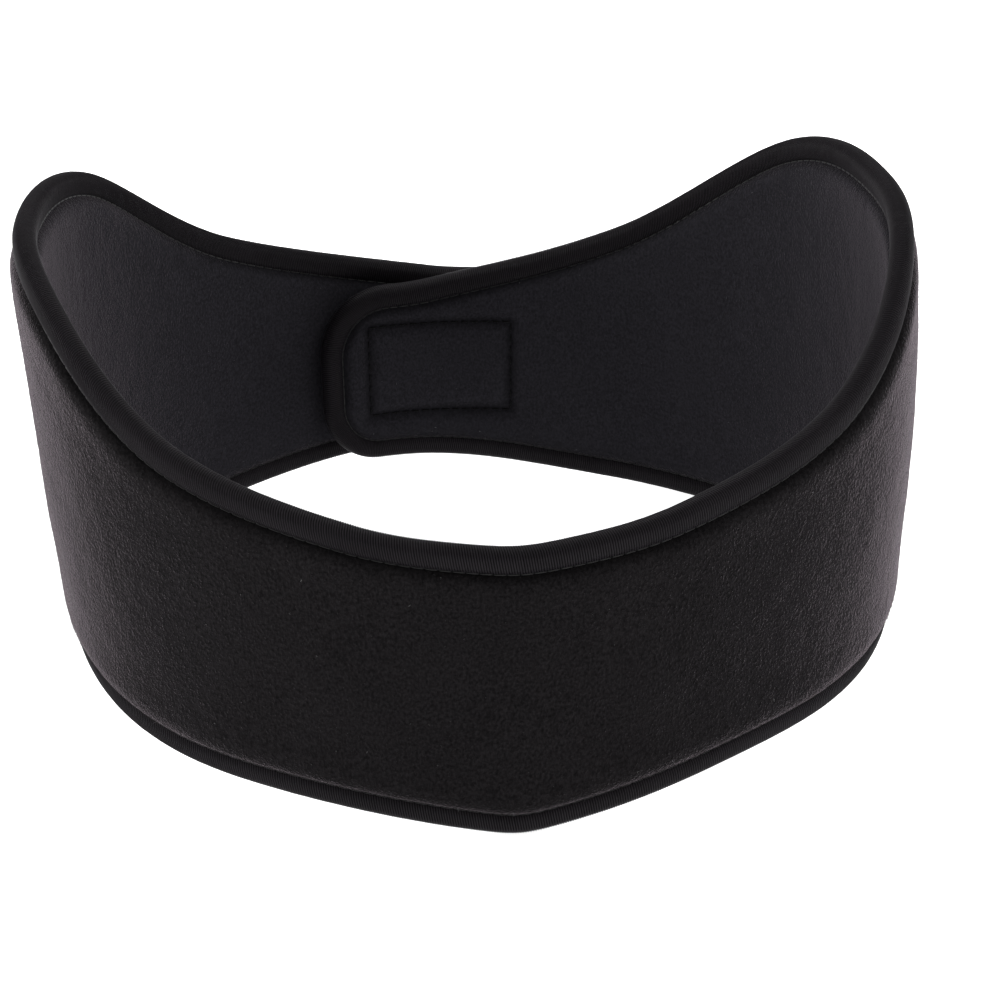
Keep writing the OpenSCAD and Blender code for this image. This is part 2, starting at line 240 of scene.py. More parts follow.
def fleece_w(phi, z, side):
    """Distance from the foam's middle to the visible face of the fleece, on the outer side
    (side 1) or on the lining side (-1)."""
    e = inset(phi, z)
    x = np.maximum(0, e - TAPE_H)
    free = smooth(x / LUMP_START)
    w = foam_half(e) + FLEECE_T
    above = z - edge_z(BOTTOM_EDGE, phi)
    bottom = smooth((BOTTOM_REACH - above) / BOTTOM_FADE) if side > 0 else 0
    for share, (height, crown) in ((1 - bottom, ROLL), (bottom, BOTTOM_ROLL)):
        w = w + share * height * x / crown * np.exp(1 - x / crown)
    arc = phi * MM_PER_DEG
    for i, (size, height) in enumerate(LUMPS):
        stretch = FINE_STRETCH if size < FINE_LUMP else 1
        seed = 11 * (side + 3) + i
        w = w + free * height * noise(arc + NOISE_SHIFT, z / stretch, size, seed)
    in_tab = on_right_tab(phi)
    from_seam = seam_distance(phi, z)
    if side < 0:
        return w - in_tab * SEAM_DEPTH * np.exp(-((from_seam / SEAM_WIDTH) ** 2))
    # the hook patch is sewn flat on the fleece
    held = in_tab * smooth((SEAM_INSET + HELD_PAST - from_seam) / HELD_FADE)
    return w * (1 - held) + np.minimum(w, foam_half(e) + FLEECE_T + 0.02) * held


def painted_shade(phi, z, side):
    """Painted shade: 1 beside the binding and along the patch's stitched groove, where shade falls, and
    0 away from them.
    """
    beside_tape = np.exp(-((np.maximum(0, inset(phi, z) - TAPE_H) / SHADE_REACH) ** 2))
    if side > 0:
        return beside_tape
    beside_seam = on_right_tab(phi) * np.exp(-((seam_distance(phi, z) / SHADE_REACH) ** 2))
    return np.maximum(beside_tape, beside_seam)


# ---- Meshes ----
def mesh_object(name, points, faces, material, band=None, uv=None, smooth_faces=True):
    """Mesh from points in metres, a list of face index arrays, and for each point its place on
    the band (along, up, out, in millimetres) for the materials."""
    mesh = bpy.data.meshes.new(name)
    points = np.asarray(points, np.float32).reshape(-1, 3)
    sizes = np.concatenate([np.full(len(f), f.shape[1]) for f in faces])
    loops = np.concatenate([f.ravel() for f in faces])
    mesh.vertices.add(len(points))
    mesh.vertices.foreach_set("co", points.ravel())
    mesh.loops.add(len(loops))
    mesh.loops.foreach_set("vertex_index", loops.astype(np.int32))
    mesh.polygons.add(len(sizes))
    mesh.polygons.foreach_set("loop_start", (np.cumsum(sizes) - sizes).astype(np.int32))
    mesh.polygons.foreach_set("use_smooth", np.full(len(sizes), smooth_faces))
    if band is not None:
        places = mesh.attributes.new("band", "FLOAT_VECTOR", "POINT")
        places.data.foreach_set("vector", np.asarray(band, np.float32).ravel())
    if uv is not None:
        uv_layer = mesh.uv_layers.new(name="OFBake")
        uv_layer.data.foreach_set("uv", np.asarray(uv, np.float32)[loops].ravel())
    mesh.update(calc_edges=True)
    mesh.validate()
    mesh.materials.append(material)
    obj = bpy.data.objects.new(name, mesh)
    bpy.context.scene.collection.objects.link(obj)
    return obj


def point_value(obj, name, values):
    """Gives each point of a mesh a number that its material reads."""
    attribute = obj.data.attributes.new(name, "FLOAT", "POINT")
    attribute.data.foreach_set("value", np.asarray(values).astype(np.float32).ravel())


def grid_faces(rows, columns, closed_columns=False):
    """Quads between rows x columns points."""
    last = columns if closed_columns else columns - 1
    i, j = np.meshgrid(np.arange(rows - 1), np.arange(last), indexing="ij")
    k = (j + 1) % columns
    quad = np.stack([i * columns + j, i * columns + k, (i + 1) * columns + k,
                     (i + 1) * columns + j], -1)
    return quad.reshape(-1, 4)


def end_caps(rows, columns):
    """The two end faces of a tube of rows rings."""
    first = np.arange(columns)[::-1][None]
    return [first, np.arange(columns)[None] + (rows - 1) * columns]


def tube_faces(total, rings, sides, mirrored=()):
    """Faces of small capped tubes whose points follow each other; mirrored tubes have their
    points the other way round."""
    one = [grid_faces(rings, sides, True), *end_caps(rings, sides)]
    return [
        np.concatenate([
            (part[:, ::-1] if k in mirrored else part) + k * rings * sides for k in range(total)
        ])
        for part in one
    ]


def tube_uv(total, rings, sides):
    """A square cell of the texture map for each small tube."""
    cells = math.ceil(math.sqrt(total))
    k = np.repeat(np.arange(total), rings * sides)
    spots = np.meshgrid(np.linspace(0.1, 0.9, rings), np.linspace(0.1, 0.9, sides), indexing="ij")
    inner = np.tile(np.stack(spots, -1).reshape(-1, 2), (total, 1))
    return (np.stack([k % cells, k // cells], 1) + inner) / cells


def round_off(r, s):
    """How far a rounded corner of radius r draws the edge in at a distance s from the end."""
    d = np.maximum(0, r - s)
    return r - np.sqrt(np.maximum(0, r * r - d * d))


CORNER_ROWS = 1.6      # how many more rows a tab's rounded end gets


def stretch_angles(start, end, step):
    """Angles along a stretch, in steps of about step millimetres, closer towards a tab's end."""
    lam_end = END_ANGLE - LAM_INSET / MM_PER_DEG
    if max(abs(start), abs(end)) < END_ANGLE:
        return np.linspace(start, end, int(abs(end - start) * MM_PER_DEG / step) + 1)
    sign = np.sign(start + end)
    near = lam_end - CORNER_TOP / MM_PER_DEG
    plain = np.linspace(CUT_ANGLE, near, int((near - CUT_ANGLE) * MM_PER_DEG / step) + 1)
    turn = np.linspace(0, 1, int(CORNER_TOP / step * CORNER_ROWS))[1:]
    angles = sign * np.concatenate([plain, near + (lam_end - near) * np.sin(turn * math.pi / 2)])
    return angles if sign > 0 else angles[::-1]


def layer_rows(phi, fractions):
    """Heights of a ring's points between the laminate's two edges."""
    s = np.maximum(end_distance(phi) - LAM_INSET, 0)
    ends = []
    for edge, radius in ((BOTTOM_EDGE, CORNER_BOTTOM), (TOP_EDGE, CORNER_TOP)):
        inwards = 1 if edge is BOTTOM_EDGE else -1
        drawn_in = LAM_INSET + round_off(radius - LAM_INSET, s)
        ends.append(edge_z(edge, phi) + inwards * drawn_in / edge_cos(edge, phi))
    low, high = ends
    return low[:, None] + (high - low)[:, None] * fractions[None]


TALLEST = 88           # tallest height of the laminate, for the number of rows
ROW_GATHER = 0.035     # how closely rows gather beside the binding, where the fleece turns
HIDDEN_ROWS = (0, 0.04, 0.08, 0.12, 0.2, 0.35, 0.5, 0.65, 0.8, 0.88, 0.92, 0.96, 1)


def layer(name, span, step, material, shown_w, hidden_w, side):
    """One layer of the laminate as a closed mesh: its shown face fine, its hidden face coarse."""
    phi = stretch_angles(*span, step)
    shown = np.linspace(0, 1, int(TALLEST / step))
    shown = shown - ROW_GATHER * np.sin(2 * math.pi * shown)
    hidden = np.array(HIDDEN_ROWS)
    z = np.concatenate([layer_rows(phi, shown), layer_rows(phi, hidden)[:, ::-1]], 1)
    p = np.repeat(phi[:, None], z.shape[1], 1)
    n = len(shown)
    w = np.concatenate([shown_w(p[:, :n], z[:, :n]), hidden_w(p[:, n:], z[:, n:])], 1)
    band = np.stack([p * MM_PER_DEG, z, w], -1)
    along = np.linspace(0, 1, len(phi))[:, None] + 0 * z
    across = np.linspace(0, 1, z.shape[1])[None] + 0 * z
    faces = grid_faces(len(phi), z.shape[1], closed_columns=True)
    caps = end_caps(len(phi), z.shape[1])
    if side < 0:
        faces, caps = faces[:, ::-1], [c[:, ::-1] for c in caps]
    uv = np.stack([along, across], -1).reshape(-1, 2)
    obj = mesh_object(name, place(p, z, w), [faces, *caps], material, band, uv)
    # painted shade beside the binding and in the stitched groove, which darkens the fleece's base colour
    point_value(obj, "painted_shade", painted_shade(p, z, side))
    return obj


def sharp_ends(obj, rows, columns):
    """Keeps the shading of a tube's side apart from its two end caps."""
    mesh = obj.data
    edges = np.empty(len(mesh.edges) * 2, np.int32)
    mesh.edges.foreach_get("vertices", edges)
    ring = edges.reshape(-1, 2) // columns
    capped = (ring[:, 0] == ring[:, 1]) & ((ring[:, 0] == 0) | (ring[:, 0] == rows - 1))
    mesh.attributes.new("sharp_edge", "BOOLEAN", "EDGE").data.foreach_set("value", capped)


def sharpen(obj, degrees):
    """Shades a mesh smooth, apart from edges that bend by more than some degrees."""
    bpy.context.view_layer.objects.active = obj
    obj.select_set(True)
    bpy.ops.object.shade_smooth_by_angle(angle=math.radians(degrees), keep_sharp_edges=True)
    obj.select_set(False)


# ---- Materials ----
class Nodes:
    """A material's node tree, written as short calls."""

    def __init__(self, name, **principled):
        self.material = bpy.data.materials.new(name)
        self.material.use_nodes = True
        self.tree = self.material.node_tree
        self.shader = self.tree.nodes["Principled BSDF"]
        for socket, value in principled.items():
            self.shader.inputs[socket.replace("_", " ")].default_value = value

    def node(self, kind, settings=None, **inputs):
        made = self.tree.nodes.new("ShaderNode" + kind)
        for key, value in (settings or {}).items():
            setattr(made, key, value)
        for key, value in inputs.items():
            numbered = key[1:].isdigit()
            socket = made.inputs[int(key[1:]) if numbered else key.replace("_", " ")]
            if isinstance(value, bpy.types.NodeSocket):
                self.tree.links.new(value, socket)
            else:
                socket.default_value = value
        return made

    def band(self, scale=(1, 1, 1)):
        """A point's place on the band, in millimetres: along it, up and outwards."""
        spot = self.node("Attribute", {"attribute_name": "band"}).outputs["Vector"]
        return self.node("Mapping", None, Vector=spot, Scale=scale).outputs[0]

    def value(self, attribute):
        return self.node("Attribute", {"attribute_name": attribute}).outputs["Fac"]

    def noise(self, vector, scale, detail=2.0, roughness=0.5):
        return self.node("TexNoise", None, Vector=vector, Scale=scale, Detail=detail,
                         Roughness=roughness).outputs["Fac"]

    def ramp(self, value, stops):
        made = self.node("ValToRGB", None, Fac=value)
        elements = made.color_ramp.elements
        while len(elements) < len(stops):
            elements.new(0.5)
        for element, (position, colour) in zip(elements, stops):
            element.position = position
            element.color = (*colour, 1)
        return made.outputs["Color"]

    def math(self, operation, a, b=0.0):
        return self.node("Math", {"operation": operation}, _0=a, _1=b).outputs[0]

    def bump(self, height, distance, strength=1.0, normal=None):
        made = self.node("Bump", None, Height=height, Distance=distance, Strength=strength)
        if normal is not None:
            self.tree.links.new(normal, made.inputs["Normal"])
        return made.outputs[0]

    def set(self, **sockets):
        for socket, value in sockets.items():
            self.tree.links.new(value, self.shader.inputs[socket.replace("_", " ")])
        return self.material


def grey(value, tint=(1, 1, 1)):
    return tuple(value * t for t in tint)


SHEEN_TINT = (1.0, 0.86, 0.95, 1)
PAINTED_SHADE_DARKER = 0.55  # how much darker the painted shade makes the fleece's base colour
LINT = (0.5, 0.5, 0.5)


def fleece_material(name, dark, light, tint, sheen):
    """Brushed polyester fleece: short matted nap in small clumps, with painted shade beside the binding
    and in the stitched groove.
    """
    m = Nodes(name, Roughness=1.0, Specular_IOR_Level=0.06, Sheen_Weight=sheen,
              Sheen_Roughness=0.255, Sheen_Tint=SHEEN_TINT)
    clumps = m.noise(m.band((1.25, 0.95, 1.25)), 1.45, 2.0, 0.55)
    hairs = m.noise(m.band((1.3, 0.8, 1.3)), 4.2, 3.0, 0.6)
    broad = m.noise(m.band(), 0.07, 2.0)
    mixed = m.math("ADD", m.math("MULTIPLY", clumps, 0.65), m.math("MULTIPLY", hairs, 0.35))
    mixed = m.math("ADD", mixed, m.math("MULTIPLY", m.math("SUBTRACT", broad, 0.5), 0.08))
    colour = m.ramp(mixed, [(0.36, grey(dark, tint)), (0.50, grey((dark + light) / 2, tint)),
                            (0.62, grey(light, tint))])
    # painted shade: the base colour is darkened beside the binding and along the patch's stitched groove
    kept = m.math("SUBTRACT", 1.0, m.math("MULTIPLY", m.value("painted_shade"), PAINTED_SHADE_DARKER))
    colour = m.node("VectorMath", {"operation": "SCALE"}, Vector=colour, Scale=kept).outputs[0]
    normal = m.bump(clumps, 0.0005, 0.55)
    normal = m.bump(hairs, 0.0002, 0.5, normal)
    return m.set(Base_Color=colour, Normal=normal)


def nap_material(name, dark, light, tint, sheen):
    """Loose fibres that stand out of the fleece; share is a random number for each fibre, and the
    few highest are pale specks of lint."""
    m = Nodes(name, Roughness=0.9, Specular_IOR_Level=0.15, Sheen_Weight=sheen,
              Sheen_Roughness=0.30, Sheen_Tint=SHEEN_TINT)
    colour = m.ramp(m.value("share"), [(0.0, grey(dark, tint)), (0.9, grey(light, tint)),
                                       (0.9985, grey(light * 1.5, tint)), (1.0, LINT)])
    return m.set(Base_Color=colour)


def tape_material(name):
    """Ribbed satin binding: rib is 1 at the top of a rib and -1 in the groove beside it, and it paints
    the base colour as painted shade in the grooves and painted highlight on the tops of the ribs.
    """
    m = Nodes(name, Specular_IOR_Level=0.06, Sheen_Weight=0.06, Sheen_Roughness=0.30,
              Sheen_Tint=(0.85, 0.85, 0.95, 1))
    rib = m.value("rib")
    yarn = m.noise(m.band((6, 0.7, 1)), 1.0, 3.0, 0.6)
    broad = m.noise(m.band((0.05, 0.2, 1)), 1.0, 2.0)
    # painted shade and highlight: the rib shape makes the base colour dark in the grooves and light on
    # the tops of the ribs; the yarn and broad noise add random tone
    rib_shade_and_tone = m.math("ADD", m.math("MULTIPLY", rib, 0.35), m.math("MULTIPLY", yarn, 0.35))
    rib_shade_and_tone = m.math("ADD", rib_shade_and_tone, m.math("MULTIPLY", broad, 0.25))
    colour = m.ramp(rib_shade_and_tone, [(0.0, (0.0013, 0.0011, 0.0014)), (0.35, (0.0062, 0.0052, 0.0063)),
                            (0.8, (0.0190, 0.0164, 0.0194))])
    rough = m.ramp(rib_shade_and_tone, [(0.05, (0.80,) * 3), (0.55, (0.45,) * 3)])
    return m.set(Base_Color=colour, Roughness=rough, Normal=m.bump(yarn, 0.00008, 0.5))


def thread_material(name, colour, gloss):
    """Plied sewing thread."""
    m = Nodes(name, Specular_IOR_Level=gloss)
    ply = m.noise(m.band((5, 5, 5)), 1.0, 2.0)
    tone = m.ramp(ply, [(0.3, grey(colour * 0.6)), (0.7, grey(colour * 1.2))])
    rough = m.ramp(ply, [(0.2, (0.25,) * 3), (0.8, (0.40,) * 3)])
    return m.set(Base_Color=tone, Roughness=rough)


def foam_material(name):
    """Open-cell foam."""
    m = Nodes(name, Roughness=0.9)
    cells = m.node("TexVoronoi", None, Vector=m.band(), Scale=2.2).outputs["Distance"]
    tone = m.ramp(cells, [(0.0, (0.07, 0.07, 0.075)), (0.6, (0.13, 0.13, 0.14))])
    return m.set(Base_Color=tone, Normal=m.bump(cells, 0.0004, 0.8))


def hook_material(name):
    """Moulded nylon hooks and the woven ground under them."""
    m = Nodes(name, Specular_IOR_Level=0.22)
    weave = m.noise(m.band((3, 3, 3)), 1.0, 3.0)
    tone = m.ramp(weave, [(0.3, (0.006, 0.006, 0.006)), (0.7, (0.014, 0.014, 0.015))])
    rough = m.ramp(weave, [(0.2, (0.35,) * 3), (0.8, (0.6,) * 3)])
    return m.set(Base_Color=tone, Roughness=rough, Normal=m.bump(weave, 0.0001, 0.5))


FLEECE_TINT = (1.05, 0.95, 1.02)
LINING_TINT = (0.99, 0.94, 1.14)
outer_fleece = fleece_material("outer_fleece", 0.0022, 0.0112, FLEECE_TINT, 0.56)
lining_fleece = fleece_material("lining_fleece", 0.0095, 0.0200, LINING_TINT, 0.22)
outer_nap = nap_material("outer_nap", 0.0045, 0.0150, FLEECE_TINT, 0.14)
lining_nap = nap_material("lining_nap", 0.0090, 0.0190, LINING_TINT, 0.05)
binding_tape = tape_material("binding_tape")
edge_thread = thread_material("edge_thread", 0.006, 0.34)
seam_thread = thread_material("seam_thread", 0.002, 0.05)
foam = foam_material("foam")
hook_tape = hook_material("hook_tape")

# ---- The four stretches: each crosses one bend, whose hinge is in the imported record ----
# name, angles where it starts and ends, the joint it crosses, the joint's angle round the head,
# and the CAD parts whose layers it shows
STRETCHES = (
    ("left_back", (-END_ANGLE, -CUT_ANGLE), "left_tab_peel", -142, ("left_tab",)),
    ("left_front", (-CUT_ANGLE, 0.0), "left_wing_flex", -75, ("front", "left_wing")),
    ("right_front", (0.0, CUT_ANGLE), "right_wing_flex", 75, ("right_wing",)),
    ("right_back", (CUT_ANGLE, END_ANGLE), "right_tab_curl", 142, ("right_tab",)),
)
OUTER_STEP, LINING_STEP, FOAM_STEP = 0.50, 0.60, 3.0   # size of a layer's faces
FOAM_CLEAR = 0.02                                      # gap between the foam and a fleece
FOLD_SHARP = 60                                        # degrees past which an edge stays sharp


def bend_with(obj):
    """Bakes the piece's placement into its mesh."""
    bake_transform(obj)


def foam_face(phi, z):
    return foam_half(inset(phi, z))


for name, span, joint, angle, cad_parts in STRETCHES:
    outer = layer("outer_fleece_" + name, span, OUTER_STEP, outer_fleece,
                  lambda p, z: fleece_w(p, z, 1), foam_face, 1)
    lining = layer("lining_" + name, span, LINING_STEP, lining_fleece,
                   lambda p, z: -fleece_w(p, z, -1), lambda p, z: -foam_face(p, z), -1)
    core = layer("foam_core_" + name, span, FOAM_STEP, foam,
                 lambda p, z: foam_face(p, z) - FOAM_CLEAR, lambda p, z: FOAM_CLEAR - foam_face(p, z), 1)
    for obj, kind, slot, fill in (
        (outer, "outer_fleece", "outer_fleece", 0.5),
        (lining, "lining", "lining_fleece", 0.5),
        (core, "foam_core", "foam", 0.6),
    ):
        sharpen(obj, FOLD_SHARP)
        bend_with(obj)
        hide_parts(*[f"{kind}_{part}" for part in cad_parts])


# ---- Loose nap fibres ----
OUTER_FIBRES, LINING_FIBRES = 44000, 30000   # fibres on a stretch
ROLL_SHARE, ROLL_BAND = 0.18, 2.6      # share of them on the bottom roll, and that roll's height
ROLL_FUR = 1.5                         # how much longer the fibres there are
FIBRE_SHAPE, FIBRE_UNIT = 5.0, 0.07    # spread of their lengths, in millimetres
FIBRE_THICK = (0.018, 0.034)
FIBRE_ROOT = 0.10                      # how deep a fibre starts in the fleece
FIBRE_MARGIN, TAPE_MARGIN = 0.4, 0.3   # clearance from the binding, in height and at the corners
SEAM_MARGIN = 1.5                      # clearance from the stitched groove, in its widths
FIBRE_LEAN, FIBRE_DROP = (0, 0.9), (-0.45, 0.8)   # mean and spread, along and up
TETRA_UV = ((0.2, 0.2), (0.8, 0.2), (0.5, 0.8), (0.5, 0.5))


def unit(v):
    return v / np.linalg.norm(v, axis=1)[:, None]


def fibres(name, span, side, count, material):
    """Short tapering fibres that stand out of the fleece and lean down with the pile."""
    phi = rng.uniform(*span, count)
    low = edge_z(BOTTOM_EDGE, phi) + TAPE_H + FIBRE_MARGIN
    high = edge_z(TOP_EDGE, phi) - TAPE_H - FIBRE_MARGIN
    z = low + (high - low) * rng.uniform(0, 1, count)
    on_roll = rng.uniform(0, 1, count) < ROLL_SHARE
    z = np.where(on_roll, low + rng.uniform(0, ROLL_BAND, count), z)
    keep = inset(phi, z) > TAPE_H + TAPE_MARGIN
    if side < 0:
        keep &= (phi < TAB_START) | (abs(seam_distance(phi, z)) > SEAM_MARGIN * SEAM_WIDTH)
    phi, z, on_roll = phi[keep], z[keep], on_roll[keep]
    n = len(phi)
    w = side * (fleece_w(phi, z, side) - FIBRE_ROOT)
    root = place(phi, z, w)
    out = unit(place(phi, z, w + side) - root)
    along = unit(place(phi + 0.1, z, w) - root)
    up = np.cross(out, along) * side
    length = rng.gamma(FIBRE_SHAPE, FIBRE_UNIT, n) * np.where(on_roll, ROLL_FUR, 1) * MM
    lean = rng.normal(*FIBRE_LEAN, n)
    drop = rng.normal(*FIBRE_DROP, n)
    toward = unit(out + along * lean[:, None] + up * drop[:, None])
    across = unit(np.cross(toward, up))
    other = np.cross(toward, across)
    thick = rng.uniform(*FIBRE_THICK, n) * MM
    base = [root + thick[:, None] * (across * math.cos(a) + other * math.sin(a))
            for a in (0, 2 * math.pi / 3, 4 * math.pi / 3)]
    points = np.stack([*base, root + toward * length[:, None]], 1).reshape(-1, 3)
    i = np.arange(n)[:, None] * 4
    faces = np.concatenate([i + np.array([0, 1, 3]), i + np.array([1, 2, 3]),
                            i + np.array([2, 0, 3]), i + np.array([0, 2, 1])])
    share = rng.uniform(0, 1, n)
    cells = math.ceil(math.sqrt(n))
    cell = np.stack([np.arange(n) % cells, np.arange(n) // cells], 1) / cells
    uv = (cell[:, None] + (np.array(TETRA_UV) / cells)[None]).reshape(-1, 2)
    obj = mesh_object(name, points, [faces], material, None, uv, False)
    point_value(obj, "share", np.repeat(share, 4))
    bend_with(obj)


for name, span, joint, angle, cad_parts in STRETCHES:
    fibres("outer_nap_" + name, span, 1, OUTER_FIBRES, outer_nap)
    fibres("lining_nap_" + name, span, -1, LINING_FIBRES, lining_nap)

# ---- Edge binding: one closed path round the whole band ----
RIB = 0.48             # pitch of the ribs
RIB_STEPS = 4          # rings of points to one rib
RIB_HIGH = 0.13        # height of a rib
RIB_SLANT = -0.16      # how far a rib runs along for each millimetre across
RIB_SHAPE = np.array([-1.0, 0.55, 1.0, 0.55])
RIB_UNEVEN, RIB_PATCH = 0.15, 1.3      # how much the ribs' height varies, and over what distance
PATH_STEP, TURN_STEP = 0.2, 1.5        # degrees along the edges, and round a tab's corner


def edge_line(edge, angles, inwards):
    """Path rows along the top edge (inwards -1) or the bottom edge (1)."""
    c = edge_cos(edge, angles)
    return np.stack([angles, edge_z(edge, angles), 0 * angles, inwards / c], 1)


def corner_line(side, edge, r, down, turns):
    """Path rows round a tab's rounded corner of radius r."""
    t = np.radians(turns)
    a = END_ANGLE - r * (1 - np.sin(t)) / MM_PER_DEG
    z = edge_z(edge, a) + down * r * (1 - np.cos(t))
    return np.stack([side * a, z, -side * np.sin(t), down * np.cos(t)], 1)


def binding_path():
    """Rows of (angle, height, inward direction in angle, inward direction in height) round the
    band: from the centre front along the top to the right, round the right tab's end, back along
    the bottom to the left tab's end, and along the top to the centre front."""
    top_last = END_ANGLE - CORNER_TOP / MM_PER_DEG
    bottom_last = END_ANGLE - CORNER_BOTTOM / MM_PER_DEG
    turns = np.arange(1, 90, TURN_STEP)
    up = np.arange(0, top_last, PATH_STEP)
    down = np.arange(-bottom_last + PATH_STEP, bottom_last, PATH_STEP)[::-1]
    return np.concatenate([
        edge_line(TOP_EDGE, up, -1),
        corner_line(1, TOP_EDGE, CORNER_TOP, -1, turns),
        corner_line(1, BOTTOM_EDGE, CORNER_BOTTOM, 1, turns[::-1]),
        edge_line(BOTTOM_EDGE, down, 1),
        corner_line(-1, BOTTOM_EDGE, CORNER_BOTTOM, 1, turns),
        corner_line(-1, TOP_EDGE, CORNER_TOP, -1, turns[::-1]),
        edge_line(TOP_EDGE, -up[1:][::-1], -1),
    ])


PATH = binding_path()
TOP_ROWS = PATH[:, 3] < 0
LINE = place(PATH[:, 0], PATH[:, 1], 0.0) / MM
STEPS = np.linalg.norm(np.diff(np.vstack([LINE, LINE[:1]]), axis=0), axis=1)
ARC = np.concatenate([[0], np.cumsum(STEPS)])
PATH_LENGTH = ARC[-1]
RIBS = int(round(PATH_LENGTH / RIB))
RIB_PITCH = PATH_LENGTH / RIBS


def on_path(arc, w, n):
    """Points on the binding, at a distance along its path, out from the middle and in from the
    edge, all in millimetres."""
    at = np.mod(arc, PATH_LENGTH)
    closed = np.vstack([PATH, PATH[:1]])
    phi, z, dphi, dz = (np.interp(at, ARC, closed[:, k]) for k in range(4))
    return place(phi + dphi * n / MM_PER_DEG, z + dz * n, w)


def arc_of(angle, top):
    """Distance along the path where it passes an angle on the top or the bottom edge."""
    rows = np.nonzero(TOP_ROWS == top)[0]
    i = rows[np.argmin(abs(PATH[rows, 0] - angle))]
    return ARC[i]


# Half outline of the folded tape, from its free edge up to the fold: depth below the edge of the
# band and distance from the middle. The stitching draws the free edge in.
SIDE_DEPTH = (4.6, 4.35, 4.0, 3.6, 3.2, 2.8, 2.4)
SIDE_OUT = (1.62, 1.80, 2.00, 2.16, 2.24, 2.26, 2.26)
FOLD_DEPTH, FOLD_POWER, FOLD_POINTS = 2.1, 0.9, 15
FREE_EDGE_RIB = 0.4                    # the ribs fade at the free edges
# inside of the fold, from one free edge to the other
BACK_OUT = (-1.5, -1.56, -0.8, 0.8, 1.56, 1.5)
BACK_DEPTH = (4.62, 2.0, 0.85, 0.85, 2.0, 4.62)


def tape_section():
    """Outline of the folded tape: (w, n) points and how strongly the ribs show at each."""
    depth, side = np.array(SIDE_DEPTH), np.array(SIDE_OUT)
    turn = np.radians(np.linspace(0, 180, FOLD_POINTS))[1:-1]
    fold_w = side[-1] * np.sign(np.cos(turn)) * abs(np.cos(turn)) ** FOLD_POWER
    fold_n = FOLD_DEPTH * (1 - np.sin(turn) ** FOLD_POWER)
    w = np.concatenate([side, fold_w, -side[::-1]])
    n = np.concatenate([depth, fold_n, depth[::-1]])
    rib = np.ones(len(w))
    rib[[0, -1]] = FREE_EDGE_RIB
    w, n = np.concatenate([w, BACK_OUT]), np.concatenate([n, BACK_DEPTH])
    return w, n, np.concatenate([rib, np.zeros(len(BACK_OUT))])


def tape_piece(name, start, end):
    """The folded tape between two distances along the path, each a whole number of ribs."""
    w, n, rib = tape_section()
    first, last = round(start / RIB_PITCH), round(end / RIB_PITCH)
    stations = np.arange(first * RIB_STEPS, last * RIB_STEPS + 1)
    arc = stations * RIB_PITCH / RIB_STEPS
    around = np.concatenate([[0], np.cumsum(np.hypot(np.diff(w), np.diff(n)))])
    shown = rib > 0
    across = np.where(shown, around - around[shown].max() / 2, 0)
    # outward direction of the section at each point, for the height of the ribs
    dw, dn = np.gradient(w), np.gradient(n)
    size = np.hypot(dw, dn)
    out_w, out_n = -dn / size, dw / size
    ribbed = rib[None] * RIB_SHAPE[stations % RIB_STEPS][:, None]
    spread = noise(arc[:, None] + 0 * w[None], across[None] + 0 * arc[:, None], RIB_PATCH, 5)
    lift = RIB_HIGH * ribbed * (1 + RIB_UNEVEN * spread)
    ww = w[None] + lift * out_w[None]
    nn = n[None] + lift * out_n[None]
    aa = arc[:, None] + RIB_SLANT * across[None]
    band = np.stack([aa, across[None] + 0 * aa, ww], -1)
    uv = np.stack([np.linspace(0, 1, len(arc))[:, None] + 0 * aa,
                   np.linspace(0, 1, len(w))[None] + 0 * aa], -1)
    faces = [grid_faces(len(arc), len(w), closed_columns=True), *end_caps(len(arc), len(w))]
    tape = mesh_object(name, on_path(aa, ww, nn), faces, binding_tape, band, uv.reshape(-1, 2))
    # the rib shape also paints shade into the tape's base colour: dark in the grooves, light on the tops
    # of the ribs
    point_value(tape, "rib", ribbed)
    sharp_ends(tape, len(arc), len(w))
    return tape


# stitches along both free edges: length, gap, thickness, and where the row lies on the tape
STITCH, STITCH_GAP, THREAD = 2.3, 0.10, 0.13
STITCH_DEPTH, STITCH_W = 4.66, 1.76
STITCH_SIDES, STITCH_RINGS = 6, 7
STITCH_STRAIGHT = 0.8                  # share of a stitch's half before its end narrows and sinks
STITCH_SINK, STITCH_NARROW = 0.08, 0.35


def edge_stitches(name, start, end):
    """Two rows of stitches, one on each free edge of the tape."""
    count = int((end - start) / (STITCH + STITCH_GAP))
    at = start + (np.arange(count) + 0.5) * (end - start) / count
    t = np.linspace(-1, 1, STITCH_RINGS)
    turn = np.linspace(0, 2 * math.pi, STITCH_SIDES, endpoint=False)[None, None]
    narrow = np.maximum(0, abs(t) - STITCH_STRAIGHT)[None, :, None] / (1 - STITCH_STRAIGHT)
    thick = THREAD * (1 - STITCH_NARROW * narrow)
    points, band = [], []
    for side in (1, -1):
        arc = at[:, None, None] + t[None, :, None] * STITCH / 2
        w = side * (STITCH_W - STITCH_SINK * narrow + thick * np.cos(turn)) + 0 * arc
        n = STITCH_DEPTH + thick * np.sin(turn) * side + 0 * arc
        points.append(on_path(arc + 0 * w, w, n).reshape(-1, 3))
        band.append(np.stack([arc + 0 * w, n, w], -1).reshape(-1, 3))
    shape = (2 * count, STITCH_RINGS, STITCH_SIDES)
    return mesh_object(name, np.concatenate(points), tube_faces(*shape), edge_thread,
                       np.concatenate(band), tube_uv(*shape))
